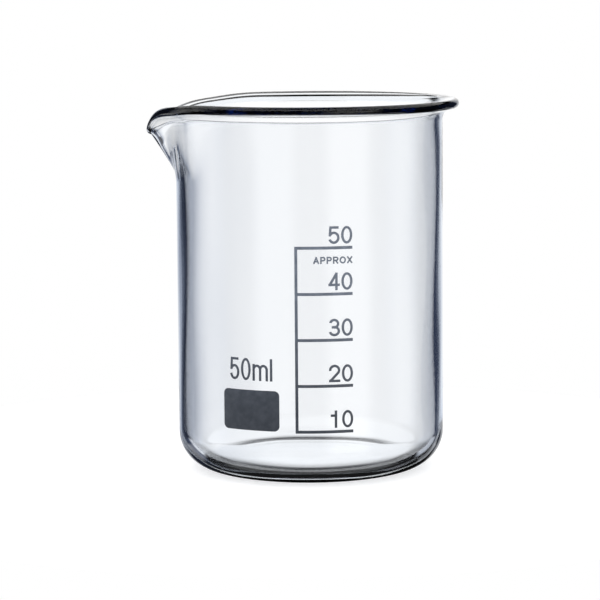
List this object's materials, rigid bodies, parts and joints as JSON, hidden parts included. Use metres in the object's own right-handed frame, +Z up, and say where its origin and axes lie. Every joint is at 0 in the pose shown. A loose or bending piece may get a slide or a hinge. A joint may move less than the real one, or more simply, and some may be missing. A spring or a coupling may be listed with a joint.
{
  "type": "laboratory beaker",
  "caption": "Low-form glass laboratory beaker with a flared, beaded rim, a pouring spout and a fired enamel scale on the wall.",
  "frame": {"origin": "on the beaker's axis at the plane it rests on", "axes": "+Z up along the beaker's axis, the spout points towards -X, the printed scale is on the -Y side"},
  "size_m": [0.0523, 0.0496, 0.0614],
  "materials": {
    "borosilicate_glass": "clear, fire-polished",
    "fired_enamel": "satin slate-grey fired enamel"
  },
  "bodies": {
    "root": {"glass_body": "borosilicate_glass", "scale_rule": "fired_enamel", "line_10": "fired_enamel", "line_20": "fired_enamel", "line_30": "fired_enamel", "line_40": "fired_enamel", "line_50": "fired_enamel", "figures_10": "fired_enamel", "figures_20": "fired_enamel", "figures_30": "fired_enamel", "figures_40": "fired_enamel", "figures_50": "fired_enamel", "approx_label": "fired_enamel", "capacity_label": "fired_enamel", "marking_patch": "fired_enamel"}
  },
  "joints": []
}
